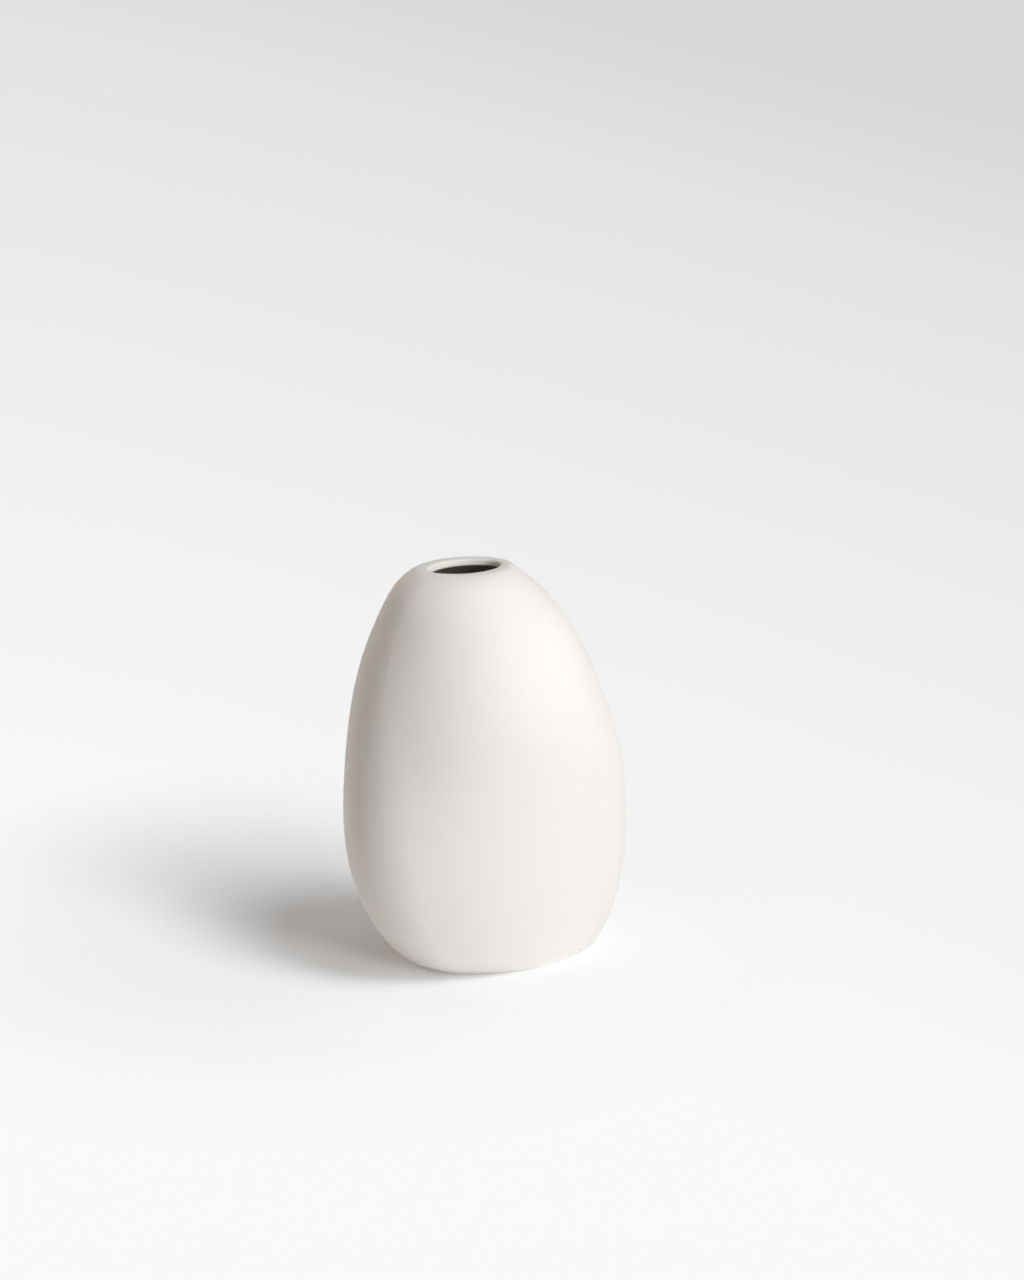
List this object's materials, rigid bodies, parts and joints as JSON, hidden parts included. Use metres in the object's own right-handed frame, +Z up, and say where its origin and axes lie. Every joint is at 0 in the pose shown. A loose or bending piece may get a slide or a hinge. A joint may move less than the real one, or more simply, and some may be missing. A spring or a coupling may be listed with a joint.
{
  "type": "vase",
  "caption": "Small flattened vase of matte white porcelain, egg-shaped and leaning a little, with an oval mouth, a recessed foot and a clear glaze lining inside.",
  "frame": {"origin": "on the floor, under the middle of the vase's length and depth", "axes": "+Z up; X along the long side, with the mouth off the middle towards -X and the foot towards +X; Y through the two broad faces"},
  "size_m": [0.1051, 0.076, 0.14],
  "materials": {
    "bisque_porcelain": "matte, unglazed, finely sanded",
    "clear_glaze": "gloss, clear over white porcelain"
  },
  "bodies": {
    "root": {"vase_body": "bisque_porcelain", "inside_glaze": "clear_glaze"}
  },
  "joints": []
}
